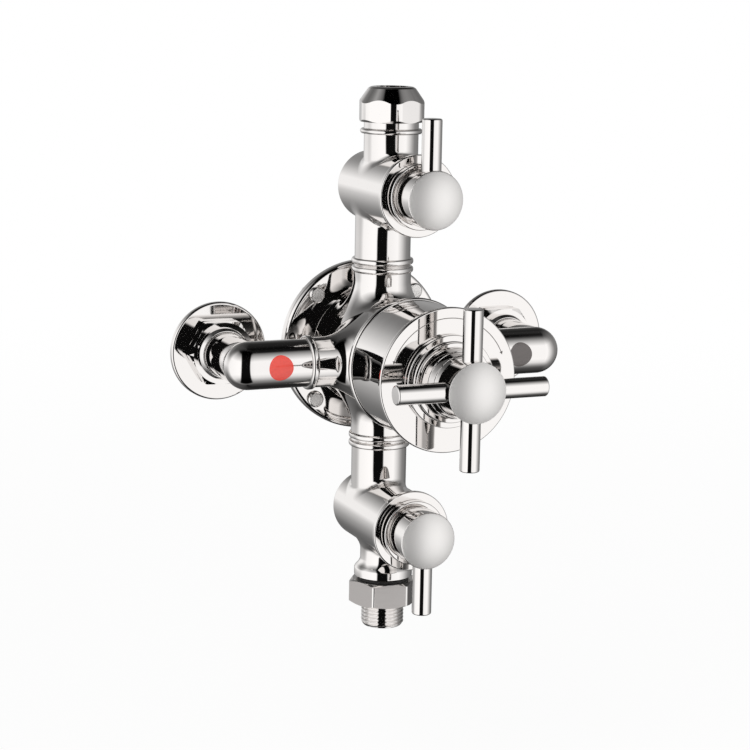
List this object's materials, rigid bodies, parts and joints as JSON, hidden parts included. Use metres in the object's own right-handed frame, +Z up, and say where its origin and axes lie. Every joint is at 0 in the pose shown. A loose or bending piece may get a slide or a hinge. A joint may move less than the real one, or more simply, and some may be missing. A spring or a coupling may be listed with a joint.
{
  "type": "exposed thermostatic shower valve",
  "caption": "Wall-mounted exposed thermostatic shower valve with a cross temperature handle, lever on/off valves above and below, wall elbows, a riser nut and a threaded outlet.",
  "frame": {"origin": "centre of the wall flange on the wall surface, on the axis of the cross handle", "axes": "+Z up along the outlets, +X to the viewer's right along the inlets, +Y into the wall"},
  "size_m": [0.198, 0.1519, 0.2643],
  "materials": {
    "chrome": "polished chrome on brass",
    "satin_chrome": "satin chrome on brass",
    "brass": "turned",
    "steel": "bright",
    "rubber": "matt",
    "acetal": "moulded",
    "ceramic": "lapped",
    "red_enamel": "gloss",
    "grey_enamel": "gloss"
  },
  "bodies": {
    "valve": {"cartridge_bonnet": "brass", "cartridge_o_rings": "rubber", "cartridge_sleeve": "brass", "cold_check_guide": "acetal", "cold_check_spring": "steel", "cold_elbow": "chrome", "cold_inlet_nut": "chrome", "cold_marker": "grey_enamel", "cold_wall_plate": "chrome", "compression_olives": "brass", "dial_plate": "chrome", "flange_screws": "steel", "front_collar": "chrome", "hot_check_guide": "acetal", "hot_check_spring": "steel", "hot_elbow": "chrome", "hot_inlet_nut": "chrome", "hot_marker": "red_enamel", "hot_wall_plate": "chrome", "lower_fixed_disc": "ceramic", "lower_headwork": "chrome", "lower_shroud": "chrome", "lower_union_ring": "chrome", "lower_valve_body": "chrome", "outlet_adaptor": "chrome", "outlet_washer": "rubber", "return_spring": "steel", "riser_adaptor": "chrome", "riser_nut": "chrome", "stop_ring": "chrome", "upper_fixed_disc": "ceramic", "upper_headwork": "chrome", "upper_shroud": "chrome", "upper_union_ring": "chrome", "upper_valve_body": "chrome", "valve_body": "chrome", "wall_flange": "chrome"},
    "temperature_handle": {"handle_hub": "chrome", "handle_bar_top": "chrome", "handle_bar_right": "chrome", "handle_bar_bottom": "chrome", "handle_bar_left": "chrome", "handle_cap": "satin_chrome", "handle_screw": "steel", "cartridge_spindle": "brass"},
    "thermostat": {"drive_nut": "brass", "wax_element": "brass", "regulating_shuttle": "acetal"},
    "upper_control": {"upper_knob": "chrome", "upper_lever": "chrome", "upper_spindle": "brass", "upper_turning_disc": "ceramic"},
    "lower_control": {"lower_knob": "chrome", "lower_lever": "chrome", "lower_spindle": "brass", "lower_turning_disc": "ceramic"},
    "hot_check": {"hot_check_poppet": "acetal"},
    "cold_check": {"cold_check_poppet": "acetal"}
  },
  "joints": [
    {"name": "temperature_turn", "type": "hinge", "parent": "valve", "child": "temperature_handle", "pos_m": [0, -0.131, 0], "axis": [0, -1, 0], "range_deg": [-135, 135]},
    {"name": "thermostat_slide", "type": "slide", "parent": "valve", "child": "thermostat", "axis": [0, -1, 0], "range_m": [-0.0012, 0.0012], "deforming": ["return_spring"]},
    {"name": "upper_turn", "type": "hinge", "parent": "valve", "child": "upper_control", "pos_m": [0, -0.082, 0.08], "axis": [0, -1, 0], "range_deg": [0, 90]},
    {"name": "lower_turn", "type": "hinge", "parent": "valve", "child": "lower_control", "pos_m": [0, -0.082, -0.08], "axis": [0, -1, 0], "range_deg": [0, 90]},
    {"name": "hot_check_slide", "type": "slide", "parent": "valve", "child": "hot_check", "axis": [1, 0, 0], "range_m": [0, 0.0025], "stiffness_N_per_m": 60, "springref_m": -0.002, "deforming": ["hot_check_spring"]},
    {"name": "cold_check_slide", "type": "slide", "parent": "valve", "child": "cold_check", "axis": [-1, 0, 0], "range_m": [0, 0.0025], "stiffness_N_per_m": 60, "springref_m": -0.002, "deforming": ["cold_check_spring"]}
  ],
  "couplings": [
    {"joint": "thermostat_slide", "follows": "temperature_turn", "m_per_rad": 0.00047746}
  ]
}
